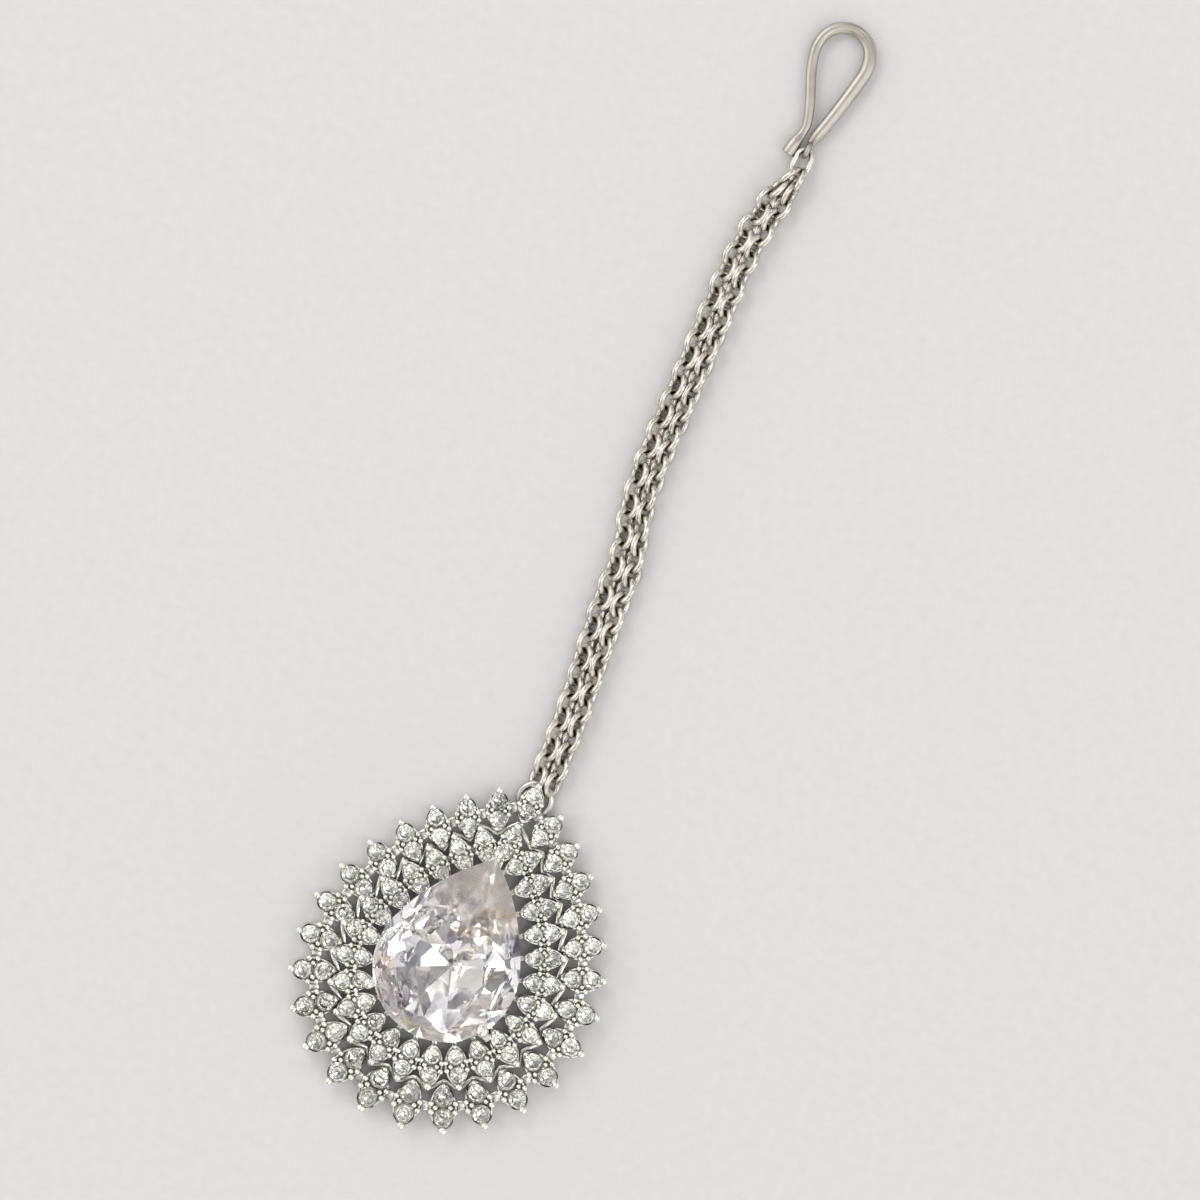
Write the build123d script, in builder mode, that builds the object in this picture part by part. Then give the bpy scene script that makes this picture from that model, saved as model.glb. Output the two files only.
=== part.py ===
"""Maang tikka: a pear pendant of two pavé leaf rows round a pear stone, a double chain and a hair hook.

Millimetres. +Y runs from the pendant to the hook along the pendant's axis, +Z is up out of the front,
z = 0 is the back, on which the jewel lies. The origin is on the pendant's axis, level with the middle
of the stone's round end.
"""

import os
from collections import namedtuple
from math import acos, atan2, cos, degrees, hypot, pi, radians, sin, tan

from build123d import *

# ---- pear outlines: a round end, and two flank arcs that meet in a tip ----
Pear = namedtuple("Pear", "radius tip lift x y")  # tip: above the round end's centre, lift: degrees
STONE_OUTLINE = Pear(radius=7.6, tip=12.4, lift=20, x=-0.45, y=0)
INNER_LINE = Pear(radius=9.9, tip=15.1, lift=18, x=0, y=-0.53)
OUTER_LINE = Pear(radius=13.75, tip=19.45, lift=16.5, x=0.05, y=-0.95)

# ---- the two rows of leaf cups along those lines: pitch and size grow from the tip to the round end ----
Row = namedtuple("Row", "line count pitch_growth size_growth fan length width bottom top")
OUTER_ROW = Row(
    OUTER_LINE,
    count=27,
    pitch_growth=1.23,
    size_growth=1.17,
    fan=0.5,
    length=4.25,
    width=2.45,
    bottom=0,
    top=2.3,
)
INNER_ROW = Row(
    INNER_LINE,
    count=26,
    pitch_growth=1.02,
    size_growth=1.08,
    fan=0,
    length=3.95,
    width=2.3,
    bottom=0.45,
    top=2.8,
)
Cup = namedtuple("Cup", "place size")
SIDE_RIM, TIP_RIM = 0.22, 0.35  # wall round each cup's bed of stones
BED_DEPTH = 0.45

# ---- the web that solders the cups together ----
WEB_BOTTOM, WEB_TOP = 1.05, 1.9
Band = namedtuple("Band", "line grow width")  # grow: how far outside its line the band's middle runs
BANDS = (
    Band(OUTER_LINE, grow=-0.1, width=0.95),
    Band(INNER_LINE, grow=0, width=0.7),
    Band(STONE_OUTLINE, grow=-0.55, width=0.7),
)
STRUT_LENGTH, STRUT_WIDTH = 2.2, 0.55  # from each inner cup's inner tip in under the stone
TIE_REACH, TIE_WIDTH = 2.9, 0.5  # ties zigzag between the tips of the two rows that are this near

# ---- the centre stone and its prongs ----
CULET_HEIGHT, GIRDLE_HEIGHT, GIRDLE_THICKNESS, CROWN_HEIGHT = 0.35, 5.1, 0.25, 1.9
TABLE_SHARE, CULET_SHARE = 0.58, 0.03
SEAT_GROW, SEAT_WIDTH, SEAT_BOTTOM, SEAT_TOP = -1.0, 0.5, 3.5, 4.1
SEAT_ARM = 2.2  # from each prong in to the seat
Prong = namedtuple("Prong", "turn reach lean")  # turn: degrees clockwise from the tip
POST_RADIUS, BEAD_RADIUS = 0.4, 0.58
POST_CLEARANCE = 0.07
BEAD_RISE = 0.92  # from the underside of the girdle to the middle of the bead
PRONGS = (
    Prong(turn=0, reach=12.4 + 0.25, lean=0.1),
    Prong(turn=125, reach=7.6, lean=0.35),
    Prong(turn=235, reach=7.6, lean=0.0),
)

# ---- jump ring behind the top leaf, tilted up to the chain, and the staple that holds it ----
RING_X, RING_Y, RING_LOW_Z, RING_TILT = 0.6, 19.45, 0.6, 3.5
RING_RADIUS, RING_WIRE = 1.7, 0.6
STAPLE_WIDTH, STAPLE_LEG, STAPLE_FLOOR, STAPLE_CLEARANCE = 0.7, 0.4, 0.25, 0.1
RAISED_CUPS, RAISED_BOTTOM = 3, 1.05  # the cups at the tip stand clear of the jump ring

# ---- double chain: the middle line between its two strands ----
STRAND_DIAMETER = 1.6
STRAND_SPACING = 1.75
Point = namedtuple("Point", "x y")
CHAIN_ROUTE = (
    Point(0.75, 21.8),
    Point(0.25, 31.0),
    Point(-0.95, 41.0),
    Point(-1.2, 46.6),
    Point(-3.05, 53.0),
    Point(-3.2, 62.0),
    Point(-3.45, 73.0),
    Point(-3.6, 80.5),
    Point(-2.75, 86.0),
    Point(-2.1, 89.3),
)

# ---- end ring, and the hook that it hangs from ----
END_RING_X, END_RING_Y = -1.85, 91.15
END_RING_WIDTH, END_RING_LENGTH, END_RING_WIRE = 2.25, 3.3, 0.5
HOOK_Z = 1.0
EYE_X, EYE_RADIUS, EYE_WIRE = -1.85, 0.7, 0.56
LOOP_CENTRE, LOOP_RADIUS = Point(-2.65, 103.05), 2.8
LEG_FOOT = Point(-1.75, 93.25)
TIP_BEND, TIP_END, TIP_BEND_RADIUS = Point(-3.05, 94.6), Point(-3.8, 91.35), 4.0
HOOK_WIDTH, HOOK_THICKNESS, HOOK_ROUNDING = 1.05, 0.8, 0.3

os.makedirs("parts", exist_ok=True)


def flank_of(pear):
    """Middle and radius of the right flank's arc, about the round end's centre."""
    lift = radians(pear.lift)
    back = (pear.tip**2 - pear.radius**2) / (2 * (pear.radius - pear.tip * sin(lift)))
    return -back * cos(lift), -back * sin(lift), pear.radius + back


def pear_face(pear, grow=0.0, share=1.0):
    """Face inside the outline, moved outwards by grow, then scaled about the round end's centre."""
    middle_x, middle_y, flank_radius = flank_of(pear)
    lift = radians(pear.lift)
    round_radius, flank_radius = pear.radius + grow, flank_radius + grow
    tip_turn = acos(-middle_x / flank_radius)
    half_turn = (lift + tip_turn) / 2
    join = (round_radius * cos(lift), round_radius * sin(lift))
    tip = (0, middle_y + flank_radius * sin(tip_turn))
    bulge = (middle_x + flank_radius * cos(half_turn), middle_y + flank_radius * sin(half_turn))

    def placed(point, side=1):
        return (pear.x + side * share * point[0], pear.y + share * point[1])

    with BuildSketch(mode=Mode.PRIVATE) as face:
        with BuildLine():
            ThreePointArc(placed(join), placed((0, -round_radius)), placed(join, -1))
            ThreePointArc(placed(join, -1), placed(bulge, -1), placed(tip))
            ThreePointArc(placed(tip), placed(bulge), placed(join))
        make_face()
    return face.sketch


def cups_of(row):
    """The row's cups, the first at the tip, each turned so that its own +Y points outwards."""
    pear = row.line
    middle_x, middle_y, flank_radius = flank_of(pear)
    tip_normal = atan2(-middle_x, pear.tip - middle_y)
    join_normal = pi / 2 - radians(pear.lift)
    flank_length = (join_normal - tip_normal) * flank_radius
    half_length = flank_length + (pi - join_normal) * pear.radius
    half_count = row.count / 2
    first_pitch = 2 * half_length / (half_count * (1 + row.pitch_growth))
    growth = first_pitch * (row.pitch_growth - 1) / (2 * half_count)
    cups = []
    for number in range(row.count):
        step = min(number, row.count - number)
        side = 1 if number == step else -1
        along = first_pitch * step + growth * step**2
        if along < flank_length:
            normal = tip_normal + along / flank_radius
            x = middle_x + flank_radius * sin(normal)
            y = middle_y + flank_radius * cos(normal)
        else:
            normal = join_normal + (along - flank_length) / pear.radius
            x, y = pear.radius * sin(normal), pear.radius * cos(normal)
        if step == 0:
            normal = 0
        turn = (1 - row.fan) * normal + row.fan * atan2(x, y)
        place = Location((pear.x + side * x, pear.y + y, 0), (0, 0, -side * degrees(turn)))
        cups.append(Cup(place, 1 + (row.size_growth - 1) * step / half_count))
    return cups


def tip_of(row, cup, side):
    """Outer (1) or inner (-1) tip of a cup."""
    return (cup.place * Location((0, side * cup.size * row.length / 2, 0))).position


def tie_places():
    """Middles and lengths of the ties from each outer cup's inner tip to the inner row's tips near it."""
    inner_tips = [tip_of(INNER_ROW, cup, 1) for cup in cups_of(INNER_ROW)]
    ties = []
    for cup in cups_of(OUTER_ROW):
        start = tip_of(OUTER_ROW, cup, -1)
        near = sorted(inner_tips, key=lambda tip: (tip - start).length)[:2]
        for end in near:
            run = end - start
            if run.length < TIE_REACH:
                turn = degrees(atan2(run.Y, run.X))
                ties.append((Location((start + end) / 2, (0, 0, turn)), run.length))
    return ties


def leaf_face(length, width):
    """Pointed leaf, its long way along Y."""
    with BuildSketch(mode=Mode.PRIVATE) as leaf:
        with BuildLine():
            ThreePointArc((0, -length / 2), (width / 2, 0), (0, length / 2))
            ThreePointArc((0, length / 2), (-width / 2, 0), (0, -length / 2))
        make_face()
    return leaf.sketch


def arc_radii(points):
    """Radius of the tangent arc at each inner point, as large as its two runs allow."""
    radii = []
    for before, here, after in zip(points, points[1:], points[2:]):
        run_in = (here.x - before.x, here.y - before.y)
        run_out = (after.x - here.x, after.y - here.y)
        turn = abs(atan2(*run_in) - atan2(*run_out))
        radii.append(0.45 * min(hypot(*run_in), hypot(*run_out)) / tan(turn / 2))
    return radii


def tangent_point(start, centre, radius, side):
    """Where the line from start touches the circle, on the side of +X (1) or -X (-1)."""
    away_x, away_y = start.x - centre.x, start.y - centre.y
    angle = atan2(away_y, away_x) + side * acos(radius / hypot(away_x, away_y))
    return Point(centre.x + radius * cos(angle), centre.y + radius * sin(angle))


# ---- pendant frame: cups, web, stone's seat, prongs and staple, soldered into one ----
with BuildPart() as pendant_frame:
    with BuildSketch(Plane.XY.offset(WEB_BOTTOM)):
        for band in BANDS:
            add(pear_face(band.line, band.grow + band.width / 2))
            add(pear_face(band.line, band.grow - band.width / 2), mode=Mode.SUBTRACT)
        for cup in cups_of(INNER_ROW):
            with Locations(cup.place):
                with Locations((0, -cup.size * INNER_ROW.length / 2)):
                    Rectangle(STRUT_WIDTH, STRUT_LENGTH)
        for place, length in tie_places():
            with Locations(place):
                Rectangle(length, TIE_WIDTH)
    extrude(amount=WEB_TOP - WEB_BOTTOM)

    for row in (OUTER_ROW, INNER_ROW):
        cups = cups_of(row)
        each_side = RAISED_CUPS // 2
        raised = cups[: each_side + 1] + cups[-each_side:]
        standing = cups[each_side + 1 : -each_side]
        for group, bottom in ((standing, row.bottom), (raised, RAISED_BOTTOM)):
            with BuildSketch(Plane.XY.offset(bottom)):
                for cup in group:
                    with Locations(cup.place):
                        add(leaf_face(row.length * cup.size, row.width * cup.size))
            extrude(amount=row.top - bottom)
        with BuildSketch(Plane.XY.offset(row.top)):
            for cup in cups:
                bed_length = row.length * cup.size - 2 * TIP_RIM
                bed_width = row.width * cup.size - 2 * SIDE_RIM
                with Locations(cup.place):
                    add(leaf_face(bed_length, bed_width))
        extrude(amount=-BED_DEPTH, mode=Mode.SUBTRACT)

    # Seat under the girdle, carried by the prongs.
    with BuildSketch(Plane.XY.offset(SEAT_BOTTOM)):
        add(pear_face(STONE_OUTLINE, SEAT_GROW + SEAT_WIDTH / 2))
        add(pear_face(STONE_OUTLINE, SEAT_GROW - SEAT_WIDTH / 2), mode=Mode.SUBTRACT)
        for prong in PRONGS:
            with Locations(Location((STONE_OUTLINE.x, STONE_OUTLINE.y, 0), (0, 0, -prong.turn))):
                with Locations((0, prong.reach)):
                    Rectangle(2 * POST_RADIUS, SEAT_ARM)
    extrude(amount=SEAT_TOP - SEAT_BOTTOM)
    for prong in PRONGS:
        post_reach = prong.reach + POST_RADIUS + POST_CLEARANCE
        bead_height = GIRDLE_HEIGHT + BEAD_RISE
        with Locations(Location((STONE_OUTLINE.x, STONE_OUTLINE.y, 0), (0, 0, -prong.turn))):
            with Locations((0, post_reach, WEB_BOTTOM)):
                Cylinder(
                    POST_RADIUS,
                    bead_height - WEB_BOTTOM,
                    align=(Align.CENTER, Align.CENTER, Align.MIN),
                )
            with Locations((0, post_reach - prong.lean, bead_height)):
                Sphere(BEAD_RADIUS)

    # Staple round the jump ring's near side.
    staple_y = RING_Y - RING_RADIUS
    slot = RING_WIRE + 2 * STAPLE_CLEARANCE
    with BuildSketch(Plane.YZ.offset(RING_X - STAPLE_WIDTH / 2)):
        with Locations((staple_y, 0)):
            Rectangle(slot + 2 * STAPLE_LEG, WEB_TOP, align=(Align.CENTER, Align.MIN))
            with Locations((0, STAPLE_FLOOR)):
                Rectangle(
                    slot,
                    RAISED_BOTTOM - STAPLE_FLOOR,
                    align=(Align.CENTER, Align.MIN),
                    mode=Mode.SUBTRACT,
                )
    extrude(amount=STAPLE_WIDTH)
pendant_frame.part.label = "pendant_frame"

# ---- centre stone: crown, girdle and pavilion ----
with BuildPart() as centre_stone:
    girdle_top = GIRDLE_HEIGHT + GIRDLE_THICKNESS
    with BuildSketch(Plane.XY.offset(GIRDLE_HEIGHT)):
        add(pear_face(STONE_OUTLINE))
    extrude(amount=GIRDLE_THICKNESS)
    with BuildSketch(Plane.XY.offset(girdle_top)):
        add(pear_face(STONE_OUTLINE))
    with BuildSketch(Plane.XY.offset(girdle_top + CROWN_HEIGHT)):
        add(pear_face(STONE_OUTLINE, share=TABLE_SHARE))
    loft(ruled=True)
    with BuildSketch(Plane.XY.offset(GIRDLE_HEIGHT)):
        add(pear_face(STONE_OUTLINE))
    with BuildSketch(Plane.XY.offset(CULET_HEIGHT)):
        add(pear_face(STONE_OUTLINE, share=CULET_SHARE))
    loft(ruled=True)
centre_stone.part.label = "centre_stone"

# ---- jump ring ----
with BuildPart() as jump_ring:
    middle_z = RING_LOW_Z + RING_RADIUS * sin(radians(RING_TILT))
    with Locations(Location((RING_X, RING_Y, middle_z), (RING_TILT, 0, 0))):
        Torus(RING_RADIUS, RING_WIRE / 2)
jump_ring.part.label = "jump_ring"


def strand(side):
    """One chain strand as a tube beside the chain's middle line."""
    shift = side * STRAND_SPACING / 2
    points = [Point(point.x + shift, point.y) for point in CHAIN_ROUTE]
    radii = arc_radii(points)
    print("strand arc radii", [round(radius, 1) for radius in radii])
    with BuildPart() as tube:
        with BuildLine(Plane.XY.offset(STRAND_DIAMETER / 2)) as route:
            FilletPolyline(*[(point.x, point.y) for point in points], radius=radii)
        with BuildSketch(Plane(origin=route.line @ 0, z_dir=route.line % 0)):
            Circle(STRAND_DIAMETER / 2)
        sweep()
    section = pi * STRAND_DIAMETER**2 / 4
    print("strand volume / section x length", round(tube.part.volume / (section * route.wire().length), 4))
    return tube


strands = {"chain_strand_left": strand(-1), "chain_strand_right": strand(1)}
for name, tube in strands.items():
    tube.part.label = name

# ---- end ring: an oval that joins both strands to the hook ----
with BuildPart() as end_ring:
    bend = (END_RING_WIDTH - END_RING_WIRE) / 2
    straight = (END_RING_LENGTH - END_RING_WIDTH) / 2
    with BuildLine(Plane((END_RING_X, END_RING_Y, HOOK_Z))) as oval:
        Line((bend, -straight), (bend, straight))
        ThreePointArc((bend, straight), (0, straight + bend), (-bend, straight))
        Line((-bend, straight), (-bend, -straight))
        ThreePointArc((-bend, -straight), (0, -straight - bend), (bend, -straight))
    with BuildSketch(Plane(origin=oval.line @ 0, z_dir=oval.line % 0)):
        Circle(END_RING_WIRE / 2)
    sweep()
end_ring.part.label = "end_ring"

# ---- hook: one flat wire from the upright eye round the loop to the flared free end ----
with BuildPart() as hook:
    right_touch = tangent_point(LEG_FOOT, LOOP_CENTRE, LOOP_RADIUS, 1)
    left_touch = tangent_point(TIP_BEND, LOOP_CENTRE, LOOP_RADIUS, -1)
    with BuildLine(Plane.XY.offset(HOOK_Z)) as wire:
        Line((LEG_FOOT.x, LEG_FOOT.y), (right_touch.x, right_touch.y))
        ThreePointArc(
            (right_touch.x, right_touch.y),
            (LOOP_CENTRE.x, LOOP_CENTRE.y + LOOP_RADIUS),
            (left_touch.x, left_touch.y),
        )
        FilletPolyline(
            (left_touch.x, left_touch.y),
            (TIP_BEND.x, TIP_BEND.y),
            (TIP_END.x, TIP_END.y),
            radius=TIP_BEND_RADIUS,
        )
    with BuildSketch(Plane(origin=wire.line @ 0, x_dir=(0, 0, 1), z_dir=wire.line % 0)):
        RectangleRounded(HOOK_THICKNESS, HOOK_WIDTH, HOOK_ROUNDING)
    sweep()
    with Locations(Location((EYE_X, END_RING_Y + straight + bend, HOOK_Z), (0, 90, 0))):
        Torus(EYE_RADIUS, EYE_WIRE / 2)
hook.part.label = "hook"

for piece in (pendant_frame, centre_stone, jump_ring, *strands.values(), end_ring, hook):
    export_step(piece.part, f"parts/{piece.part.label}.step")
    box = piece.part.bounding_box()
    print(piece.part.label, "volume", round(piece.part.volume, 1), "size", box.size)
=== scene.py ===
"""Maang tikka: looks of the pavé pendant, its pear stone, the double chain and the hair hook.

Shapes are made in millimetres, in the frame's axes (+Y from the pendant to the hook, +Z up out of the
front), and turned to metres when a piece is finished.
"""

import random
from collections import namedtuple
from math import acos, atan2, cos, pi, radians, sin

import bmesh
import bpy
from mathutils import Matrix, Vector


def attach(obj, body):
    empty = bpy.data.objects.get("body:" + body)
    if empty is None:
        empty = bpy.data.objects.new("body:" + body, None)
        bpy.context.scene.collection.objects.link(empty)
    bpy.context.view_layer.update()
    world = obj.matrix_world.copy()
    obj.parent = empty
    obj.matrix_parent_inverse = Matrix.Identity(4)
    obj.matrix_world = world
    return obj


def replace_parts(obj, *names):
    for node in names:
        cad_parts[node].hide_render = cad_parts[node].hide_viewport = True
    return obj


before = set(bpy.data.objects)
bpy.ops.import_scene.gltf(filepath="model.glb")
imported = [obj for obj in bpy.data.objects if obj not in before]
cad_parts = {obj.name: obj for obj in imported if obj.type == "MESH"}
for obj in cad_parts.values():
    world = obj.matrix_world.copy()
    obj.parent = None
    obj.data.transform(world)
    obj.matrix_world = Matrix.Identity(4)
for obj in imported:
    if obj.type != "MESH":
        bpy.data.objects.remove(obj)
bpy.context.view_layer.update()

MM = 0.001
SHARP_EDGE = radians(38)

# ---- pear outlines: a round end, and two flank arcs that meet in a tip ----
Pear = namedtuple("Pear", "radius tip lift x y")  # tip: above the round end's centre, lift: degrees
STONE_OUTLINE = Pear(radius=7.6, tip=12.4, lift=20, x=-0.45, y=0)
INNER_LINE = Pear(radius=9.8, tip=15.1, lift=18, x=-0.12, y=-0.58)
OUTER_LINE = Pear(radius=13.75, tip=19.45, lift=16.5, x=0.05, y=-0.95)
Arc = namedtuple("Arc", "x y radius start turn")
OUTLINE_STEPS = 28  # facets of each of an outline's three arcs

# ---- leaf cups, each row's growing from the tip to the round end ----
Row = namedtuple(
    "Row",
    "line count pitch_growth size_growth tip_rise fan length width bottom top stone spread pad pad_drop",
)
OUTER_ROW = Row(
    OUTER_LINE,
    count=27,
    pitch_growth=1.23,
    size_growth=1.2,
    tip_rise=0.4,  # how much further out the tip's cup stands
    fan=0.5,  # 0: cups stand square to the line, 1: they point away from the round end's centre
    length=4.6,
    width=2.5,
    bottom=0.0,
    top=2.3,
    stone=0.95,  # radius
    spread=0.97,  # each stone's distance from the cup's waist
    pad=1.05,  # length, along the cups, of the pads between them
    pad_drop=0.35,  # how far the pads lie below the rims
)
INNER_ROW = Row(
    INNER_LINE,
    count=26,
    pitch_growth=1.02,
    size_growth=1.13,
    tip_rise=-0.2,
    fan=0.0,
    length=4.4,
    width=2.28,
    bottom=0.45,
    top=2.8,
    stone=0.85,
    spread=0.87,
    pad=0.75,
    pad_drop=0.5,
)
Cup = namedtuple("Cup", "place size")
CUP_SKEW = 0.018  # the cast pulls out of true: each cup shifts by its distance across, times this
RAISED_CUPS, RAISED_BOTTOM = 3, 1.05  # the cups at the tip stand clear of the jump ring
LEAF_STEPS = 13  # facets of each side of a cup's outline
Step = namedtuple("Step", "share spread")  # share of the cup's height, and its outline's size there
FOOT_SPREAD = 0.88
CUP_PROFILE = (
    Step(0.06, 0.93),
    Step(0.4, 0.95),
    Step(0.8, 0.975),
    Step(0.9, 0.98),
    Step(0.97, 0.97),
    Step(1.0, 0.95),
)
RIM_WALL, BED_DEPTH, BED_SPREAD, PIT_INSET, PIT_STEPS = 0.13, 0.28, 0.985, 0.2, 16

# ---- pavé stones: crown, pavilion and girdle are shares of the radius, slopes are in degrees ----
SMALL_CROWN, SMALL_PAVILION, SMALL_GIRDLE = 0.34, 0.85, 0.04
SMALL_CROWN_SLOPE, SMALL_MAIN_SLOPE, SMALL_HALF_SLOPE = 34, 40, 40.8
SMALL_STEPS = 16  # facets of the girdle
STONE_SINK = 0.08  # how far the girdle lies below the cup's rim
STONE_TILT = 0.1  # the steepest tilt, in radians

# ---- prong beads of a cup ----
Bead = namedtuple("Bead", "inset radius rise")  # inset: from the rim, rise: over it
TIP_BEAD = Bead(0.16, 0.38, -0.04)  # at the outer tip
ROOT_BEAD = Bead(0.27, 0.26, -0.06)  # at the inner tip
WAIST_BEAD, WAIST_STEP = Bead(0.12, 0.28, 0.0), 0.38  # two on each side, this far from the waist
NECK_BEAD = Bead(0.52, 0.25, 0.0)  # one on each side, where both stones meet
BEAD_FLATNESS, BEAD_SMALLEST, BEAD_LARGEST, BEAD_WANDER = 0.85, 0.93, 1.05, 0.03

# ---- web between the cups ----
WEB_BOTTOM, WEB_TOP, WEB_BEVEL = 1.05, 1.9, 0.12
PAD_BEVEL, PAD_START = 0.16, 0.8  # PAD_START: share of the cups' width that the pads leave free
BAR_STEP = 0.04  # one of two bars that meet is this much less tall
TIE_REACH, TIE_WIDTH, TIE_TOP = 2.9, 0.5, 1.7  # TIE_REACH: the widest gap between tips that gets a tie
END_ROUNDING = 0.49  # share of a tie's width
STRUT_WIDTH, STRUT_LENGTH = 0.55, 2.2
Band = namedtuple("Band", "grow width bottom top")  # grow: outwards from the stone's outline
SEAT_BANDS = (Band(-0.55, 0.7, WEB_BOTTOM, WEB_TOP), Band(-1.0, 0.5, 3.5, 4.1))
BAND_BEVEL, BAND_STEPS = 0.1, 22

# ---- centre stone: facets' turns from the tip and their slopes are in degrees ----
CULET_HEIGHT, GIRDLE_HEIGHT, GIRDLE_THICKNESS, CROWN_HEIGHT = 0.35, 5.1, 0.25, 1.9
CULET = Vector((0.0, 0.4, 0))
MAINS = (52, 92, 136, 180)
HALVES = (34, 62, 78, 106, 122, 150, 166)
STARS = (30, 70, 114, 158)
TIP_MAINS = (17,)  # on the crown only
MAIN_SLOPE, HALF_SLOPE, STAR_SLOPE, LOWER_HALF_STEEPER = 34, 42, 20, 5
MAIN_RISE, MAIN_DROP, STAR_DROP, STAR_INSET = 0.03, 0.04, 0.24, 2.9

# ---- prongs ----
Prong = namedtuple("Prong", "turn reach lean bead")  # lean: how far its bead sits in over the stone
PRONGS = (Prong(0, 12.65, 0.1, 0.55), Prong(125, 7.6, 0.72, 0.7), Prong(235, 7.6, 0.0, 0.62))
POST_RADIUS, POST_TAPER, POST_CLEARANCE, BEAD_RISE = 0.4, 0.9, 0.07, 0.92
CLAW_SIZE, CLAW_HEIGHT = (0.8, 2.2, 0.6), 3.8

# ---- jump ring and staple ----
RING_X, RING_Y, RING_LOW_Z, RING_TILT, RING_RADIUS, RING_WIRE = 0.6, 19.45, 0.6, 3.5, 1.7, 0.6
RING_THICKENING = 1.2  # the jump ring's wire is this much thicker than the frame has it
STAPLE_WIDTH, STAPLE_LEG, STAPLE_SOLE, STAPLE_PLAY, STAPLE_BEVEL = 0.7, 0.4, 0.25, 0.2, 0.08
SOLE_INSET = 0.02  # how far the sole stays inside the posts' outline

# ---- chain ----
LINK_LENGTH, LINK_WIDTH, LINK_WIRE, LINK_PITCH = 3.08, 2.6, 0.67, 1.67
LINK_OVAL = 1.14  # how much of an oval a link is before its sides are drawn straight
FLOOR_PLAY = 0.01  # between the lowest point of a link and the floor
ROLL_PLAY, YAW_PLAY = 0.08, 0.04  # the most that links are turned off their rule, in radians
ACROSS_PLAY, ALONG_PLAY = 0.04, 0.03  # the most that they lie off their places
Stop = namedtuple("Stop", "x y gap")  # gap: between the two strands' middles
CHAIN_STOPS = (
    Stop(0.75, 21.7, 1.8),
    Stop(0.6, 25.0, 1.85),
    Stop(0.25, 31.0, 1.95),
    Stop(-0.95, 41.0, 2.05),
    Stop(-1.2, 46.6, 1.95),
    Stop(-3.05, 53.0, 1.8),
    Stop(-3.2, 62.0, 1.85),
    Stop(-3.45, 73.0, 1.85),
    Stop(-3.6, 80.5, 1.8),
    Stop(-2.75, 86.0, 1.75),
    Stop(-2.3, 87.9, 1.65),
    Stop(-1.9, 89.2, 0.95),
)
# roll: how steeply links stand, in degrees. Those with the inner side up stand steeper by the spread,
# and lie further right and closer to the other strand.
Lie = namedtuple("Lie", "share roll spread right closer")  # share of the strand's length
LINK_LIES = (
    Lie(0.0, 54, 0, 0.05, 0.08),
    Lie(0.06, 48, 2, 0.08, 0.14),
    Lie(0.2, 44, 0, 0.1, 0.14),
    Lie(0.33, 43, 0, 0.2, 0.06),
    Lie(0.4, 49, 0, 0.2, 0.06),
    Lie(0.72, 49, 0, 0.2, 0.06),
    Lie(0.8, 46, 8, 0.08, 0.2),
    Lie(0.95, 46, 8, 0.05, 0.22),
    Lie(1.0, 76, 0, 0.0, 0.0),
)

# ---- end ring and hook ----
END_RING_X, END_RING_Y, END_RING_WIDTH, END_RING_LENGTH, END_RING_WIRE = -1.85, 91.15, 2.3, 3.35, 0.64
HOOK_Z, EYE_X, EYE_RADIUS, EYE_WIRE = 1.0, -1.85, 0.7, 0.56
HOOK_WIRE_WIDTH, HOOK_WIRE_THICKNESS = 1.22, 0.95
WIRE_CORNERS = ((-1, -0.5), (-0.5, -1), (0.5, -1), (1, -0.5), (1, 0.5), (0.5, 1), (-0.5, 1), (-1, 0.5))
HookPoint = namedtuple("HookPoint", "x y width")  # width: share of the wire's
HOOK_POINTS = (
    HookPoint(-1.85, 93.05, 0.5),
    HookPoint(-1.8, 93.45, 0.8),
    HookPoint(-1.55, 94.3, 1.08),
    HookPoint(-0.85, 96.9, 1.12),
    HookPoint(-0.03, 100.6, 1.18),
    HookPoint(0.38, 103.05, 1.2),
    HookPoint(-0.51, 105.19, 1.1),
    HookPoint(-2.65, 106.08, 1.05),
    HookPoint(-4.79, 105.19, 1.0),
    HookPoint(-5.68, 103.05, 0.95),
    HookPoint(-5.05, 100.3, 0.9),
    HookPoint(-3.75, 97.4, 0.9),
    HookPoint(-2.95, 95.0, 0.78),
    HookPoint(-3.1, 93.8, 0.72),
    HookPoint(-3.4, 92.6, 1.2),
    HookPoint(-3.65, 91.35, 1.05),
)

# ---- studio, in metres ----
Lamp = namedtuple("Lamp", "name place size power")
LAMPS = (
    Lamp("key_lamp", (-0.40, 0.30, 0.60), 0.30, 0.85),
    Lamp("left_lamp", (-0.50, -0.15, 0.35), 0.14, 0.24),
    Lamp("right_lamp", (0.50, 0.12, 0.40), 0.14, 0.24),
    Lamp("low_lamp", (0.15, -0.45, 0.40), 0.14, 0.24),
    Lamp("far_lamp", (0.10, 0.50, 0.45), 0.14, 0.24),
    Lamp("top_lamp", (0.16, 0.04, 0.62), 0.14, 0.24),
)
LAMP_AIM = Vector((0, 0.02, 0))
FLOOR_HALF = 1.5  # half of the floor's side
VIEW_MIDDLE = Vector((-0.00192, 0.04112, 0.002))
# the camera looks straight down from VIEW_HEIGHT over VIEW_MIDDLE
VIEW_WIDTH, VIEW_HEIGHT, VIEW_TURN = 0.1243, 0.6, radians(24.7)


# ======================================================================= materials


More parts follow.
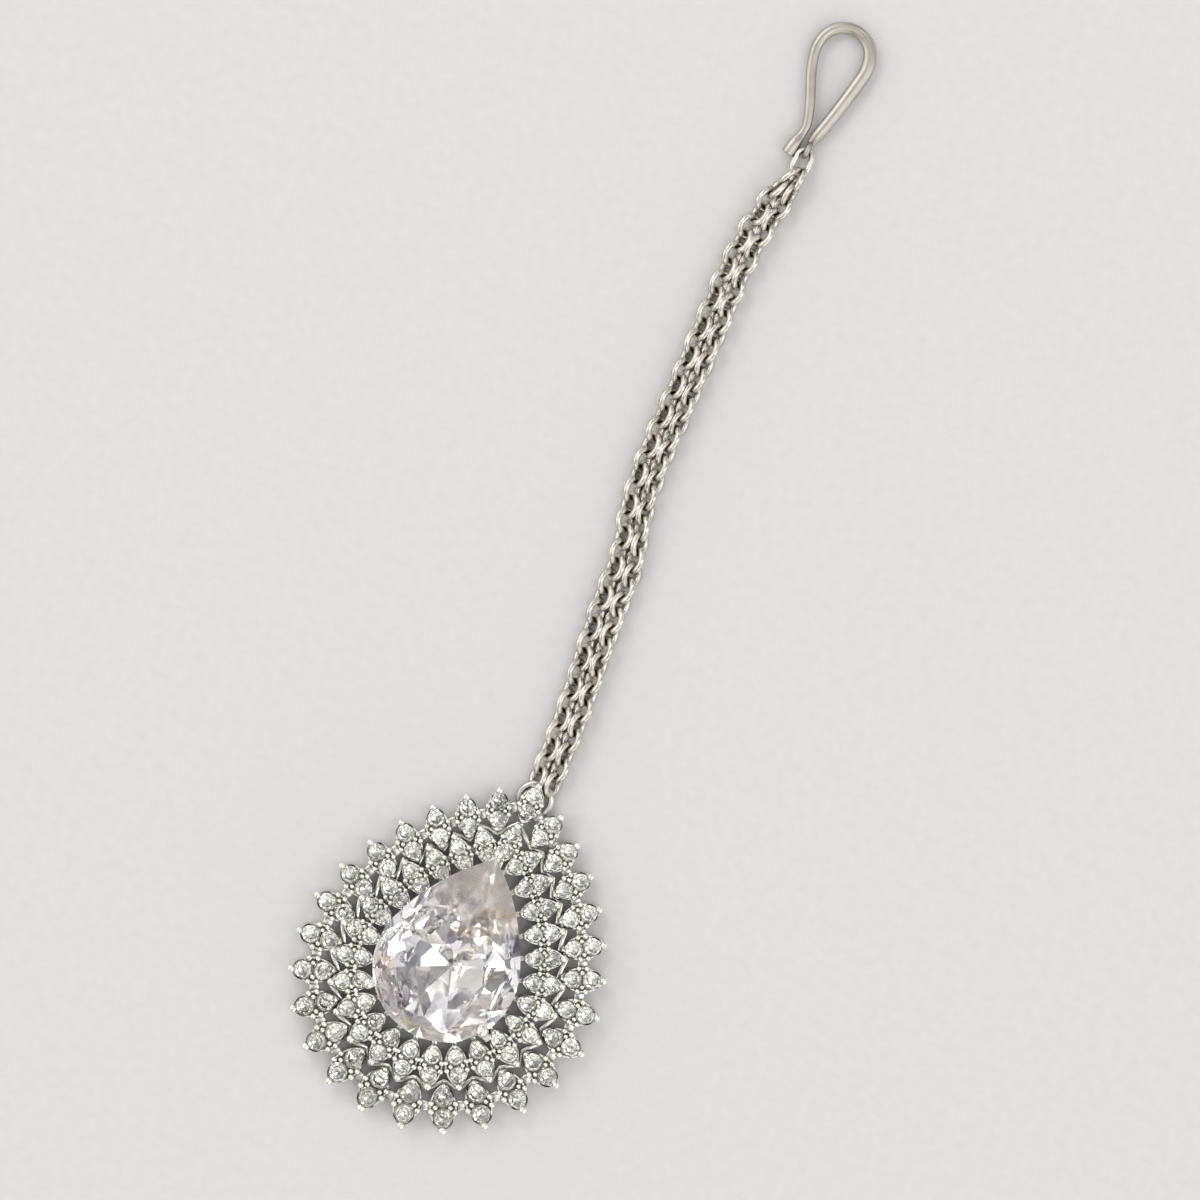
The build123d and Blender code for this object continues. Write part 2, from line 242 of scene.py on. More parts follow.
WHITE, BLACK = (1, 1, 1), (0, 0, 0)
TONE_SCALE, RIPPLE_SCALE, VEIL_SCALE, PAPER_SCALE = 420, 2600, 300, 900  # noise cells in a metre
RECESS_REACH, RIPPLE_DEPTH = 0.5 * MM, 0.06 * MM
POLISH_BEST, POLISH_WORST = 0.75, 1.3  # shares of a metal's roughness
VEIL = 0.96  # brightness of a crystal where it is veiled, as a share of the rest
FOIL_SLOPE = -0.1  # faces whose normal's height is below this have foil
Haze = namedtuple("Haze", "start end roughness colour")  # start, end: Y in millimetres
# towards the tip the crystal grows rougher, and its colour fades to a darker grey-lilac: painted shade
TIP_HAZE_AND_PAINTED_SHADE = Haze(start=2.5, end=10.5, roughness=0.24, colour=(0.77, 0.76, 0.785))
# painted flashes: foil patches tinted dark, grey or coloured stand in for facets that catch no light and
# for the stones' coloured fire
Flash = namedtuple("Flash", "start colour")  # start: share of the patches below it
PEAR_PAINTED_FLASHES = (
    Flash(0.64, (0.9, 0.89, 0.98)),
    Flash(0.73, (1.0, 0.97, 0.88)),
    Flash(0.79, (0.74, 0.72, 0.78)),
    Flash(0.86, (0.98, 0.86, 0.74)),
    Flash(0.89, WHITE),
)
PAVE_PAINTED_FLASHES = (
    Flash(0.3, (0.98, 0.98, 0.96)),
    Flash(0.62, (0.6, 0.6, 0.6)),
    Flash(0.76, WHITE),
    Flash(0.94, (0.8, 0.78, 0.8)),
)


def new_material(name):
    """New material, its tree, its Principled shader and the place on the piece."""
    material = bpy.data.materials.new(name)
    material.use_nodes = True
    tree = material.node_tree
    place = tree.nodes.new("ShaderNodeTexCoord").outputs["Object"]
    return material, tree, tree.nodes["Principled BSDF"], place


def add_noise(tree, place, scale, detail=2):
    """Cloudy noise, from 0 to 1."""
    noise = tree.nodes.new("ShaderNodeTexNoise")
    noise.inputs["Scale"].default_value = scale
    noise.inputs["Detail"].default_value = detail
    tree.links.new(place, noise.inputs["Vector"])
    return noise.outputs["Fac"]


def add_ramp(tree, source, start, first, end, last):
    """The first colour up to the start, the last one from the end on, and a slope between them."""
    ramp = tree.nodes.new("ShaderNodeValToRGB")
    for element, position, colour in zip(ramp.color_ramp.elements, (start, end), (first, last)):
        element.position = position
        element.color = (*colour, 1)
    tree.links.new(source, ramp.inputs["Fac"])
    return ramp.outputs["Color"]


def multiplied(tree, one, other):
    """Product of two colours."""
    product = tree.nodes.new("ShaderNodeMix")
    product.data_type, product.blend_type = "RGBA", "MULTIPLY"
    product.inputs["Factor"].default_value = 1.0
    tree.links.new(one, product.inputs["A"])
    tree.links.new(other, product.inputs["B"])
    return product.outputs["Result"]


def faded(tree, share, colour, target):
    """Colour that turns into the target as the share grows."""
    fade = tree.nodes.new("ShaderNodeMix")
    fade.data_type = "RGBA"
    fade.inputs["B"].default_value = (*target, 1)
    tree.links.new(share, fade.inputs["Factor"])
    tree.links.new(colour, fade.inputs["A"])
    return fade.outputs["Result"]


def plated_silver(name, colour, shade, painted_recess_shade, roughness, grain):
    """Plated metal: its colour wanders, painted shade darkens it in recesses, its polish is uneven, its
    surface rippled.
    """
    material, tree, shader, place = new_material(name)
    nodes, links = tree.nodes, tree.links
    shader.inputs["Metallic"].default_value = 1.0
    cloud = add_noise(tree, place, TONE_SCALE, detail=3)
    tone = add_ramp(tree, cloud, 0.3, shade, 0.62, colour)
    # painted shade: ambient occlusion darkens the colour towards the shade tone in recesses and narrow gaps
    recess = nodes.new("ShaderNodeAmbientOcclusion")
    recess.samples = 6
    recess.inputs["Distance"].default_value = RECESS_REACH
    painted_shade_ramp = add_ramp(tree, recess.outputs["AO"], 0.35, painted_recess_shade, 0.85, WHITE)
    links.new(multiplied(tree, tone, painted_shade_ramp), shader.inputs["Base Color"])
    polish = nodes.new("ShaderNodeMapRange")
    polish.inputs["To Min"].default_value = roughness * POLISH_BEST
    polish.inputs["To Max"].default_value = roughness * POLISH_WORST
    links.new(cloud, polish.inputs["Value"])
    links.new(polish.outputs["Result"], shader.inputs["Roughness"])
    bump = nodes.new("ShaderNodeBump")
    bump.inputs["Strength"].default_value = grain
    bump.inputs["Distance"].default_value = RIPPLE_DEPTH
    links.new(add_noise(tree, place, RIPPLE_SCALE), bump.inputs["Height"])
    links.new(bump.outputs["Normal"], shader.inputs["Normal"])
    return material


def cut_crystal(name, clear, bend, haze=None):
    """Clear cut stone: its colour, how strongly it bends light, and a haze that grows along Y: rougher,
    with a painted grey shade in its colour.
    """
    material, tree, shader, place = new_material(name)
    nodes, links = tree.nodes, tree.links
    shader.inputs["IOR"].default_value = bend
    shader.inputs["Transmission Weight"].default_value = 1.0
    shader.inputs["Roughness"].default_value = 0.0
    veiled = [VEIL * part for part in clear]
    colour = add_ramp(tree, add_noise(tree, place, VEIL_SCALE), 0.35, veiled, 0.65, clear)
    if haze:
        parts = nodes.new("ShaderNodeSeparateXYZ")
        links.new(place, parts.inputs["Vector"])
        growth = nodes.new("ShaderNodeMapRange")
        growth.interpolation_type = "SMOOTHSTEP"
        growth.inputs["From Min"].default_value = haze.start * MM
        growth.inputs["From Max"].default_value = haze.end * MM
        links.new(parts.outputs["Y"], growth.inputs["Value"])
        blur = nodes.new("ShaderNodeMath")
        blur.operation = "MULTIPLY"
        blur.inputs[1].default_value = haze.roughness
        links.new(growth.outputs["Result"], blur.inputs[0])
        links.new(blur.outputs["Value"], shader.inputs["Roughness"])
        # painted shade: the colour fades to the haze's darker grey along Y
        colour = faded(tree, growth.outputs["Result"], colour, haze.colour)
    links.new(colour, shader.inputs["Base Color"])
    return material


def stone_foil(name, roughness, scale, dark, bright, patch_scale, painted_flashes):
    """Silvered back of a stone: its brightness is uneven, and small patches of it carry painted flashes,
    dark or tinted.
    """
    material, tree, shader, place = new_material(name)
    nodes, links = tree.nodes, tree.links
    shader.inputs["Metallic"].default_value = 1.0
    shader.inputs["Roughness"].default_value = roughness
    tone = add_ramp(tree, add_noise(tree, place, scale, detail=1), 0.35, dark, 0.6, bright)
    patches = nodes.new("ShaderNodeTexVoronoi")
    patches.inputs["Scale"].default_value = patch_scale
    links.new(place, patches.inputs["Vector"])
    draw = nodes.new("ShaderNodeSeparateColor")
    links.new(patches.outputs["Color"], draw.inputs["Color"])
    # painted flashes: patches drawn at random take the table's dark or coloured tints
    painted_flash_tints = nodes.new("ShaderNodeValToRGB")
    painted_flash_tints.color_ramp.interpolation = "CONSTANT"
    painted_flash_tints.color_ramp.elements.remove(painted_flash_tints.color_ramp.elements[1])
    painted_flash_tints.color_ramp.elements[0].color = (*WHITE, 1)
    for flash in painted_flashes:
        painted_flash_tints.color_ramp.elements.new(flash.start).color = (*flash.colour, 1)
    links.new(draw.outputs["Red"], painted_flash_tints.inputs["Fac"])
    links.new(multiplied(tree, tone, painted_flash_tints.outputs["Color"]), shader.inputs["Base Color"])
    return material


silver_cast = plated_silver(
    "silver_plate_cast",
    colour=(0.86, 0.85, 0.81),
    shade=(0.72, 0.71, 0.67),
    painted_recess_shade=(0.1, 0.097, 0.088),
    roughness=0.2,
    grain=0.25,
)
# darker copy of the plated silver for the cups' beds and pits: painted shade between the stones
silver_bed_painted_shade = plated_silver(
    "silver_plate_bed_painted_shade",
    colour=(0.7, 0.69, 0.655),
    shade=(0.5, 0.49, 0.46),
    painted_recess_shade=(0.14, 0.135, 0.12),
    roughness=0.28,
    grain=0.3,
)
silver_wire = plated_silver(
    "silver_plate_wire",
    colour=(0.7, 0.675, 0.625),
    shade=(0.57, 0.55, 0.505),
    painted_recess_shade=(0.17, 0.16, 0.145),
    roughness=0.27,
    grain=0.06,
)
# darker copy of the plated wire for the hook: painted shade of the dark surroundings it reflects
hook_wire_painted_shade = plated_silver(
    "silver_plate_hook_painted_shade",
    colour=(0.5, 0.475, 0.435),
    shade=(0.4, 0.38, 0.345),
    painted_recess_shade=(0.16, 0.155, 0.14),
    roughness=0.34,
    grain=0.2,
)
# lighter copy of the plated silver, with fainter recess shade, for the beads: painted light that makes them
# bright spots
silver_bead_painted_light = plated_silver(
    "silver_plate_bead_painted_light",
    colour=(0.93, 0.91, 0.86),
    shade=(0.84, 0.82, 0.77),
    painted_recess_shade=(0.2, 0.195, 0.18),
    roughness=0.26,
    grain=0.1,
)
pave_crystal = cut_crystal("pave_crystal", (1.0, 1.0, 0.99), 1.8)
pave_foil = stone_foil(
    "pave_foil",
    roughness=0.05,
    scale=650,
    dark=(0.86, 0.86, 0.84),
    bright=(0.99, 0.99, 0.97),
    patch_scale=2100,
    painted_flashes=PAVE_PAINTED_FLASHES,
)
pear_crystal = cut_crystal("pear_crystal", (0.99, 0.985, 0.99), 1.75, TIP_HAZE_AND_PAINTED_SHADE)
pear_foil = stone_foil(
    "pear_foil",
    roughness=0.02,
    scale=160,
    dark=(0.86, 0.855, 0.865),
    bright=(0.98, 0.975, 0.965),
    patch_scale=520,
    painted_flashes=PEAR_PAINTED_FLASHES,
)


# ======================================================================= shaping


def show(item):
    """Puts an object into the scene."""
    bpy.context.scene.collection.objects.link(item)
    return item


def finish_piece(shape, name, materials, facets=False):
    """Turns a bmesh in millimetres into a finished piece in metres."""
    bmesh.ops.scale(shape, vec=(MM, MM, MM), verts=shape.verts)
    for face in shape.faces:
        face.smooth = not facets
    for edge in shape.edges:
        if len(edge.link_faces) == 2 and edge.calc_face_angle(0) > SHARP_EDGE:
            edge.smooth = False
    mesh = bpy.data.meshes.new(name)
    shape.to_mesh(mesh)
    shape.free()
    for material in materials:
        mesh.materials.append(material)
    piece = show(bpy.data.objects.new(name, mesh))
    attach(piece, "root")
    return piece


def put(target, shape, matrix=Matrix.Identity(4)):
    """Adds a copy of a small shape to the target, moved by the matrix."""
    copy = shape.copy()
    bmesh.ops.transform(copy, matrix=matrix, verts=copy.verts)
    mesh = bpy.data.meshes.new("copy")
    copy.to_mesh(mesh)
    copy.free()
    target.from_mesh(mesh)
    bpy.data.meshes.remove(mesh)


def turned(x, y, z=0.0, clockwise=0.0):
    """Matrix of a place, turned clockwise as seen from above."""
    return Matrix.Translation((x, y, z)) @ Matrix.Rotation(-clockwise, 4, "Z")


def verts_of(geometry):
    """The vertices among what an operator made."""
    return [item for item in geometry if isinstance(item, bmesh.types.BMVert)]


def soften(shape, geometry, offset, segments=2, affect="EDGES"):
    """Bevels edges, or the corners of a flat section."""
    bmesh.ops.bevel(
        shape,
        geom=geometry,
        offset=offset,
        affect=affect,
        segments=segments,
        profile=0.5,
        material=-1,
    )


def swing(shape, geometry, centre, turn, steps, up=1):
    """Spins geometry part of the way round an upright axis."""
    bmesh.ops.spin(
        shape,
        geom=geometry,
        cent=centre,
        axis=(0, 0, up),
        angle=turn,
        steps=steps,
        use_merge=False,
    )


def fill_outline(shape, closeness):
    """Joins the ends of an outline's arcs and fills it with one face that looks up."""
    bmesh.ops.remove_doubles(shape, verts=shape.verts, dist=closeness)
    face = bmesh.ops.edgeloop_fill(shape, edges=shape.edges)["faces"][0]
    if face.normal.z < 0:
        bmesh.ops.reverse_faces(shape, faces=[face])
    return face


def flank_of(pear):
    """Middle and radius of the right flank's arc, about the round end's centre."""
    lift = radians(pear.lift)
    back = (pear.tip**2 - pear.radius**2) / (2 * (pear.radius - pear.tip * sin(lift)))
    return -back * cos(lift), -back * sin(lift), pear.radius + back


def outline_point(pear, normal):
    """Point of the outline where it faces the angle normal, clockwise from the tip's direction."""
    middle_x, middle_y, flank_radius = flank_of(pear)
    side = 1 if sin(normal) >= 0 else -1
    facing = acos(cos(normal))
    if facing < atan2(-middle_x, pear.tip - middle_y):
        return Vector((pear.x, pear.y + pear.tip, 0))
    if facing < pi / 2 - radians(pear.lift):
        x = middle_x + flank_radius * sin(facing)
        y = middle_y + flank_radius * cos(facing)
    else:
        x, y = pear.radius * sin(facing), pear.radius * cos(facing)
    return Vector((pear.x + side * x, pear.y + y, 0))


def cups_of(row):
    """The row's cups, the first at the tip, each with its own +Y outwards."""
    pear = row.line
    middle_x, middle_y, flank_radius = flank_of(pear)
    tip_normal = atan2(-middle_x, pear.tip - middle_y)
    join_normal = pi / 2 - radians(pear.lift)
    flank_length = (join_normal - tip_normal) * flank_radius
    half_length = flank_length + (pi - join_normal) * pear.radius
    half_count = row.count / 2
    first_pitch = 2 * half_length / (half_count * (1 + row.pitch_growth))
    growth = first_pitch * (row.pitch_growth - 1) / (2 * half_count)
    cups = []
    for number in range(row.count):
        step = min(number, row.count - number)
        side = 1 if number == step else -1
        along = first_pitch * step + growth * step**2
        if along < flank_length:
            normal = tip_normal + along / flank_radius
            x = middle_x + flank_radius * sin(normal)
            y = middle_y + flank_radius * cos(normal)
        else:
            normal = join_normal + (along - flank_length) / pear.radius
            x, y = pear.radius * sin(normal), pear.radius * cos(normal)
        if step == 0:
            normal = 0
        turn = (1 - row.fan) * normal + row.fan * atan2(x, y)
        x, y = pear.x + side * x, pear.y + y + (row.tip_rise if step == 0 else 0)
        place = turned(x + CUP_SKEW * y, y + CUP_SKEW * x, clockwise=side * turn)
        cups.append(Cup(place, 1 + (row.size_growth - 1) * step / half_count))
    return cups


def widened(size):
    """Matrix that sizes a cup in its plane and leaves its height."""
    return Matrix.Diagonal((size, size, 1, 1))


def tip_of(row, cup, side):
    """Outer (1) or inner (-1) tip of a cup."""
    return (cup.place @ Matrix.Translation((0, side * cup.size * row.length / 2, 0))).translation


def leaf_face(shape, length, width):
    """Pointed leaf face at z = 0, its long way along Y: two spun arcs, joined and filled."""
    radius = (length**2 + width**2) / (4 * width)
    half_angle = acos((radius - width / 2) / radius)
    for side in (1, -1):
        start = shape.verts.new((0, -length / 2, 0))
        centre = (-side * (radius - width / 2), 0, 0)
        swing(shape, [start], centre, 2 * half_angle, LEAF_STEPS, up=side)
    return fill_outline(shape, 0.001)


def raise_face(shape, face, rise, spread=1.0):
    """Extrudes the face upwards and spreads it about the Z axis. Returns the new top face."""
    has_walls = any(not edge.is_boundary for edge in face.edges)
    grown = bmesh.ops.extrude_face_region(shape, geom=[face])["geom"]
    verts = verts_of(grown)
    top = next(item for item in grown if isinstance(item, bmesh.types.BMFace))
    if has_walls:
        bmesh.ops.delete(shape, geom=[face], context="FACES_ONLY")
    bmesh.ops.translate(shape, vec=(0, 0, rise), verts=verts)
    bmesh.ops.scale(shape, vec=(spread, spread, 1), verts=verts)
    return top


def fill_bed(shape, row, bed):
    """Swaps the bed's face for one with two stone pits."""
    level = bed.verts[0].co.z
    rims = bed.edges[:]
    bmesh.ops.delete(shape, geom=[bed], context="FACES_ONLY")
    pits = []
    for side in (1, -1):
        ring = bmesh.ops.create_circle(
            shape,
            cap_ends=False,
            segments=PIT_STEPS,
            radius=row.stone - PIT_INSET,
            matrix=Matrix.Translation((0, side * row.spread, level)),
        )["verts"]
        pits.append([edge for edge in shape.edges if all(vert in ring for vert in edge.verts)])
    bmesh.ops.triangle_fill(
        shape,
        edges=rims + pits[0] + pits[1],
        use_beauty=True,
        use_dissolve=False,
        normal=(0, 0, 1),
    )
    for side, edges in zip((1, -1), pits):
        grown = bmesh.ops.extrude_edge_only(shape, edges=edges)["geom"]
        foot = (0, side * row.spread, level - row.stone)
        bmesh.ops.pointmerge(shape, verts=verts_of(grown), merge_co=foot)


def leaf_cup(row, bottom):
    """One cup: walls up to a thin rounded rim, and a sunk bed with two stone pits in its second material, a
    darker metal for painted shade.
    """
    height = row.top - bottom
    shape = bmesh.new()
    top = leaf_face(shape, row.length * FOOT_SPREAD, row.width * FOOT_SPREAD)
    bmesh.ops.translate(shape, vec=(0, 0, bottom), verts=shape.verts)
    bmesh.ops.reverse_faces(shape, faces=[top])
    before = Step(0, FOOT_SPREAD)
    for step in CUP_PROFILE:
        rise = height * (step.share - before.share)
        top = raise_face(shape, top, rise, step.spread / before.spread)
        before = step
    bmesh.ops.inset_region(shape, faces=[top], thickness=RIM_WALL, use_even_offset=True)
    walls = set(shape.faces) - {top}
    bed = raise_face(shape, top, -BED_DEPTH, BED_SPREAD)
    fill_bed(shape, row, bed)
    # the bed and pits take the darker metal: painted shade
    for face in set(shape.faces) - walls:
        face.material_index = 1
    bmesh.ops.recalc_face_normals(shape, faces=shape.faces)
    return shape


def cut(shape, point, normal):
    """Cuts one facet: everything on the normal's side of the plane is ground away."""
    result = bmesh.ops.bisect_plane(
        shape,
        geom=shape.verts[:] + shape.edges[:] + shape.faces[:],
        plane_co=point,
        plane_no=normal,
        clear_outer=True,
        dist=1e-5,
    )
    rim = [item for item in result["geom_cut"] if isinstance(item, bmesh.types.BMEdge)]
    if rim:
        bmesh.ops.edgeloop_fill(shape, edges=rim)


def facet_normal(azimuth, slope, side):
    """Outward normal: azimuth clockwise from +Y, slope from level, side 1 crown or -1 pavilion."""
    return Vector((sin(azimuth) * sin(slope), cos(azimuth) * sin(slope), side * cos(slope)))


def back_with_foil(stone):
    """Gives the faces that look down the stone's second material."""
    for face in stone.faces:
        face.material_index = 1 if face.normal.z < FOIL_SLOPE else 0


def small_stone(radius):
    """Round-cut stone, its girdle's middle at the origin: table, crown, pavilion and foil back."""
    stone = bmesh.new()
    crown, pavilion = SMALL_CROWN * radius, SMALL_PAVILION * radius
    girdle = Vector((0, 0, SMALL_GIRDLE * radius))
    bmesh.ops.create_cone(
        stone,
        cap_ends=True,
        segments=SMALL_STEPS,
        radius1=radius,
        radius2=radius,
        depth=crown + pavilion,
        matrix=Matrix.Translation((0, 0, (crown - pavilion) / 2)),
    )
    for number in range(8):
        azimuth = number * pi / 4
        rim = Vector((sin(azimuth), cos(azimuth), 0)) * radius
        cut(stone, rim + girdle, facet_normal(azimuth, radians(SMALL_CROWN_SLOPE), 1))
        cut(stone, rim - girdle, facet_normal(azimuth, radians(SMALL_MAIN_SLOPE), -1))
        for half in (azimuth - pi / 16, azimuth + pi / 16):
            rim = Vector((sin(half), cos(half), 0)) * radius
            cut(stone, rim - girdle, facet_normal(half, radians(SMALL_HALF_SLOPE), -1))
    bmesh.ops.recalc_face_normals(stone, faces=stone.faces)
    back_with_foil(stone)
    return stone


def round_bead(radius):
    """Small round prong bead, a little flattened."""
    shape = bmesh.new()
    bmesh.ops.create_uvsphere(shape, u_segments=12, v_segments=7, radius=radius)
    bmesh.ops.scale(shape, vec=(1, 1, BEAD_FLATNESS), verts=shape.verts)
    return shape


def wire_ring(radius, wire, around, section):
    """Round ring of round wire in the XY plane, with its steps around the ring and around the wire."""
    shape = bmesh.new()
    profile = bmesh.ops.create_circle(shape, segments=section, radius=wire / 2)["verts"]
    bmesh.ops.rotate(shape, cent=(0, 0, 0), matrix=Matrix.Rotation(pi / 2, 3, "X"), verts=profile)
    bmesh.ops.translate(shape, vec=(radius, 0, 0), verts=profile)
    bmesh.ops.spin(
        shape,
        geom=shape.edges[:],
        cent=(0, 0, 0),
        axis=(0, 0, 1),
        angle=2 * pi,
        steps=around,
        use_merge=True,
    )
    bmesh.ops.remove_doubles(shape, verts=shape.verts, dist=0.001)
    bmesh.ops.recalc_face_normals(shape, faces=shape.faces)
    return shape


def stretch(shape, longer):
    """Parts a ring along Y, so that its two halves stand apart by the given length."""
    for side in (1, -1):
        half = [vert for vert in shape.verts if side * vert.co.y > 0.01]
        bmesh.ops.translate(shape, vec=(0, side * longer / 2, 0), verts=half)


def block(width, length, height):
    """Plain block, its middle at the origin."""
    shape = bmesh.new()
    bmesh.ops.create_cube(shape, size=1)
    bmesh.ops.scale(shape, vec=(width, length, height), verts=shape.verts)
    return shape


def box_bar(size, softness):
    """Block with rounded edges, its middle at the origin."""
    shape = block(*size)
    soften(shape, shape.edges[:], softness)
    return shape


def rise_of(edge):
    """Height between an edge's ends."""
    return abs(edge.verts[0].co.z - edge.verts[1].co.z)


def round_bar(length, width, height, softness):
    """Bar with half-round ends, its middle at the origin and its long way along Y."""
    shape = block(width, length + width, height)
    corners = [edge for edge in shape.edges if rise_of(edge) > height / 2]
    soften(shape, corners, width * END_ROUNDING, segments=5)
    soften(shape, [edge for edge in shape.edges if rise_of(edge) < 0.001], softness)
    return shape


def pear_arcs(pear, grow):
    """The outline's round end and two flanks, each an arc run anticlockwise from its start angle."""
    middle_x, middle_y, flank_radius = flank_of(pear)
    lift = radians(pear.lift)
    tip_turn = acos(-middle_x / (flank_radius + grow))
    return (
        Arc(0, 0, pear.radius + grow, pi - lift, pi + 2 * lift),
        Arc(middle_x, middle_y, flank_radius + grow, lift, tip_turn - lift),
        Arc(-middle_x, middle_y, flank_radius + grow, pi - tip_turn, tip_turn - lift),
    )


def pear_band(target, pear, band):
    """Rounded bar run along a pear outline: its section spun about each of the outline's three arcs."""
    bar = bmesh.new()
    for arc in pear_arcs(pear, band.grow):
        shape = bmesh.new()
        bmesh.ops.create_grid(shape, x_segments=1, y_segments=1, size=0.5)
        bmesh.ops.scale(shape, vec=(band.width, band.top - band.bottom, 1), verts=shape.verts)
        soften(shape, shape.verts[:], BAND_BEVEL, affect="VERTICES")
        middle = Matrix.Translation((arc.radius, 0, (band.bottom + band.top) / 2))
        upright = Matrix.Rotation(arc.start, 4, "Z") @ middle @ Matrix.Rotation(pi / 2, 4, "X")
        bmesh.ops.transform(shape, matrix=upright, verts=shape.verts)
        swing(shape, shape.faces[:], (0, 0, 0), arc.turn, BAND_STEPS)
        bmesh.ops.translate(shape, vec=(pear.x + arc.x, pear.y + arc.y, 0), verts=shape.verts)
        put(bar, shape)
        shape.free()
    bmesh.ops.remove_doubles(bar, verts=bar.verts, dist=0.001)
    joints = [face for face in bar.faces if all(len(edge.link_faces) > 2 for edge in face.edges)]
    bmesh.ops.delete(bar, geom=joints, context="FACES_ONLY")
    bmesh.ops.recalc_face_normals(bar, faces=bar.faces)
    put(target, bar)
    bar.free()


def pear_face(shape, pear):
    """Flat face in the pear's outline, at z = 0."""
    for arc in pear_arcs(pear, 0):
        start = Matrix.Rotation(arc.start, 3, "Z") @ Vector((arc.radius, 0, 0))
        corner = shape.verts.new(start + Vector((arc.x, arc.y, 0)))
        swing(shape, [corner], (arc.x, arc.y, 0), arc.turn, OUTLINE_STEPS)
    bmesh.ops.translate(shape, vec=(pear.x, pear.y, 0), verts=shape.verts)
    return fill_outline(shape, 0.01)


def nurbs_line(name, points, resolution, closed=False):
    """Smooth line with the points as its control points. A closed one is a flat section."""
    curve = bpy.data.curves.new(name, "CURVE")
    curve.dimensions = "2D" if closed else "3D"
    spline = curve.splines.new("NURBS")
    spline.points.add(len(points) - 1)
    for control, point in zip(spline.points, points):
        control.co = (*point, 1)
    spline.order_u = 3
    spline.use_endpoint_u = not closed
    spline.use_cyclic_u = closed
    spline.resolution_u = resolution
    return show(bpy.data.objects.new(name, curve))


# ======================================================================= pendant


def between(start, end, height):
    """Matrix of a bar's place halfway from start to end, its +Y towards the end."""
    across, middle = end - start, (start + end) / 2
    return turned(middle.x, middle.y, height, atan2(across.x, across.y))


def add_cups(metal):
    """Both rows of cups. The ones over the jump ring stand higher off the floor."""
    for row in (OUTER_ROW, INNER_ROW):
        raised_cup, standing_cup = leaf_cup(row, RAISED_BOTTOM), leaf_cup(row, row.bottom)
        for number, cup in enumerate(cups_of(row)):
            raised = min(number, row.count - number) <= RAISED_CUPS // 2
            put(metal, raised_cup if raised else standing_cup, cup.place @ widened(cup.size))


def add_pads(metal):
    """Cast pads that join each cup to the next one of its row."""
    for row in (OUTER_ROW, INNER_ROW):
        cups = cups_of(row)
        for here, after in zip(cups, cups[1:] + cups[:1]):
            start, end = here.place.translation, after.place.translation
            top = row.top - row.pad_drop
            length = (end - start).length - row.width * PAD_START * (here.size + after.size) / 2
            pad = box_bar((row.pad, length, top - WEB_BOTTOM), PAD_BEVEL)
            put(metal, pad, between(start, end, (WEB_BOTTOM + top) / 2))
            pad.free()


def add_ties(metal):
    """Zigzag bars from each outer cup's inner tip to the two nearest cups of the inner row."""
    inner_tips = [tip_of(INNER_ROW, cup, 1) for cup in cups_of(INNER_ROW)]
    for cup in cups_of(OUTER_ROW):
        start = tip_of(OUTER_ROW, cup, -1)
        for end in sorted(inner_tips, key=lambda tip: (tip - start).length)[:2]:
            length = (end - start).length
            if length < TIE_REACH:
                top = TIE_TOP - (BAR_STEP if start.cross(end).z > 0 else 0)
                tie = round_bar(length, TIE_WIDTH, top - WEB_BOTTOM, WEB_BEVEL)
                put(metal, tie, between(start, end, (WEB_BOTTOM + top) / 2))
                tie.free()


def add_seat(metal):
    """Rings and struts that carry the centre stone."""
    for band in SEAT_BANDS:
        pear_band(metal, STONE_OUTLINE, band)
    strut = box_bar((STRUT_WIDTH, STRUT_LENGTH, WEB_TOP - WEB_BOTTOM - BAR_STEP), WEB_BEVEL)
    for cup in cups_of(INNER_ROW):
        shift = Matrix.Translation((0, -cup.size * INNER_ROW.length / 2, (WEB_BOTTOM + WEB_TOP) / 2))
        put(metal, strut, cup.place @ shift)


def add_prongs(metal):
    """Three posts with claws under the stone's edge and beads over it."""
    bead_height = GIRDLE_HEIGHT + BEAD_RISE
    for prong in PRONGS:
        foot = turned(STONE_OUTLINE.x, STONE_OUTLINE.y, 0, radians(prong.turn))
        reach = prong.reach + POST_RADIUS + POST_CLEARANCE
        post = bmesh.new()
        bmesh.ops.create_cone(
            post,
            cap_ends=True,
            segments=20,
            radius1=POST_RADIUS,
            radius2=POST_RADIUS * POST_TAPER,
            depth=bead_height - WEB_BOTTOM,
        )
        put(metal, post, foot @ Matrix.Translation((0, reach, (bead_height + WEB_BOTTOM) / 2)))
        ball = bmesh.new()
        bmesh.ops.create_uvsphere(ball, u_segments=24, v_segments=14, radius=prong.bead)
        for face in ball.faces:
            face.material_index = 2
        put(metal, ball, foot @ Matrix.Translation((0, reach - prong.lean, bead_height)))
        claw = box_bar(CLAW_SIZE, WEB_BEVEL)
        put(metal, claw, foot @ Matrix.Translation((0, prong.reach, CLAW_HEIGHT)))


def add_staple(metal):
    """Staple under the tip that the jump ring passes through."""
    middle, slot = RING_Y - RING_RADIUS, RING_WIRE + STAPLE_PLAY
    for side in (1, -1):
        post = box_bar((STAPLE_WIDTH, STAPLE_LEG, WEB_TOP), STAPLE_BEVEL)
        y = middle + side * (slot + STAPLE_LEG) / 2
        put(metal, post, Matrix.Translation((RING_X, y, WEB_TOP / 2)))
    width, length = STAPLE_WIDTH - 2 * SOLE_INSET, slot + 2 * STAPLE_LEG - 2 * SOLE_INSET
    sole = box_bar((width, length, STAPLE_SOLE), STAPLE_BEVEL)
    put(metal, sole, Matrix.Translation((RING_X, middle, STAPLE_SOLE / 2 + SOLE_INSET)))


